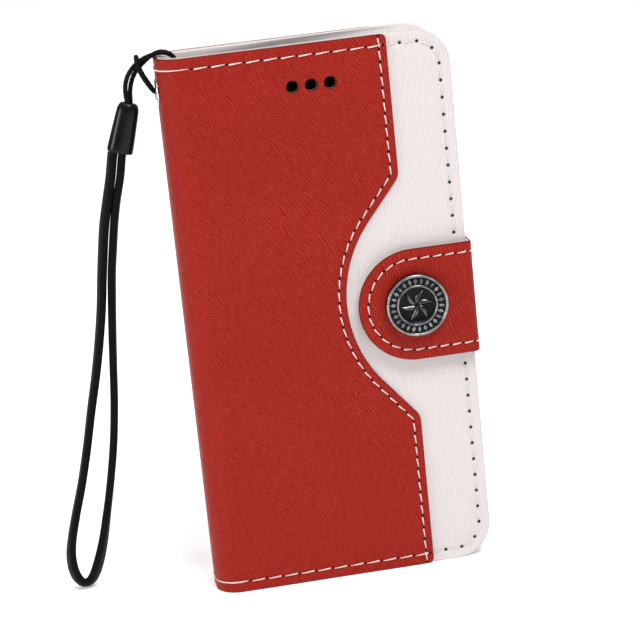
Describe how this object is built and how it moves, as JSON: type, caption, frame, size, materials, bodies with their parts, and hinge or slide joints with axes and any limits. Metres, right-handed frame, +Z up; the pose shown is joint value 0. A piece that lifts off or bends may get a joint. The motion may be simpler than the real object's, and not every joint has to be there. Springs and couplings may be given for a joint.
{
  "type": "phone wallet case",
  "caption": "Book-style phone wallet case with a wavy two-colour cover, a snap strap with a round metal button, a phone tray and a wrist strap.",
  "frame": {"origin": "under the middle of the closed case standing on its short edge, on the surface it stands on", "axes": "+Z up along the spine, -Y out of the front cover, +X from the spine to the clasp strap"},
  "size_m": [0.1146, 0.0285, 0.1457],
  "materials": {
    "red_leather": "red synthetic leather with a fine wavy grain, semi-matt",
    "white_leather": "off-white synthetic leather with the same fine grain, semi-matt",
    "lining": "smooth off-white synthetic leather lining, matt",
    "board": "grey paper board",
    "black_tray": "flexible black plastic, fine matt",
    "adhesive": "foam adhesive pad",
    "dark_metal": "antique black plated cast metal with worn bright edges",
    "bright_metal": "nickel plated",
    "black_cord": "black woven nylon",
    "black_sleeve": "moulded black plastic, satin"
  },
  "bodies": {
    "back_cover": {"back_red_leather": "red_leather", "back_white_leather": "white_leather", "back_board": "board", "back_lining": "lining", "strap_tongue": "red_leather", "shell_adhesive_pad": "adhesive", "phone_shell": "black_tray"},
    "spine": {"spine_red_leather": "red_leather", "spine_white_leather": "white_leather", "spine_stiffener": "board", "spine_lining": "lining", "lanyard_eyelet": "bright_metal", "eyelet_washer": "bright_metal", "lanyard_cord": "black_cord", "lanyard_sleeve": "black_sleeve", "wrist_loop": "black_cord"},
    "front_cover": {"front_red_leather": "red_leather", "front_white_leather": "white_leather", "front_board": "board", "front_lining": "lining", "cash_pocket": "lining", "card_slot_1": "lining", "card_slot_2": "lining", "card_slot_3": "lining", "cover_magnet": "bright_metal"},
    "strap_side": {"strap_side_leather": "red_leather", "strap_side_lining": "red_leather"},
    "strap_tab": {"strap_tab_leather": "red_leather", "strap_tab_core": "board", "strap_tab_lining": "red_leather", "strap_magnet": "bright_metal", "button_cap": "dark_metal", "button_rivet": "bright_metal"}
  },
  "joints": [
    {"name": "spine_fold", "type": "hinge", "parent": "back_cover", "child": "spine", "pos_m": [-0.03658, 0.00945, 0.072], "axis": [0, 0, -1], "range_deg": [0, 90]},
    {"name": "cover_fold", "type": "hinge", "parent": "spine", "child": "front_cover", "pos_m": [-0.03658, -0.0045, 0.072], "axis": [0, 0, -1], "range_deg": [0, 180]},
    {"name": "strap_root_fold", "type": "hinge", "parent": "back_cover", "child": "strap_side", "pos_m": [0.03823, 0.009, 0.07305], "axis": [0, 0, 1], "range_deg": [0, 160]},
    {"name": "strap_tab_fold", "type": "hinge", "parent": "strap_side", "child": "strap_tab", "pos_m": [0.03823, -0.00785, 0.07305], "axis": [0, 0, 1], "range_deg": [0, 100]}
  ]
}
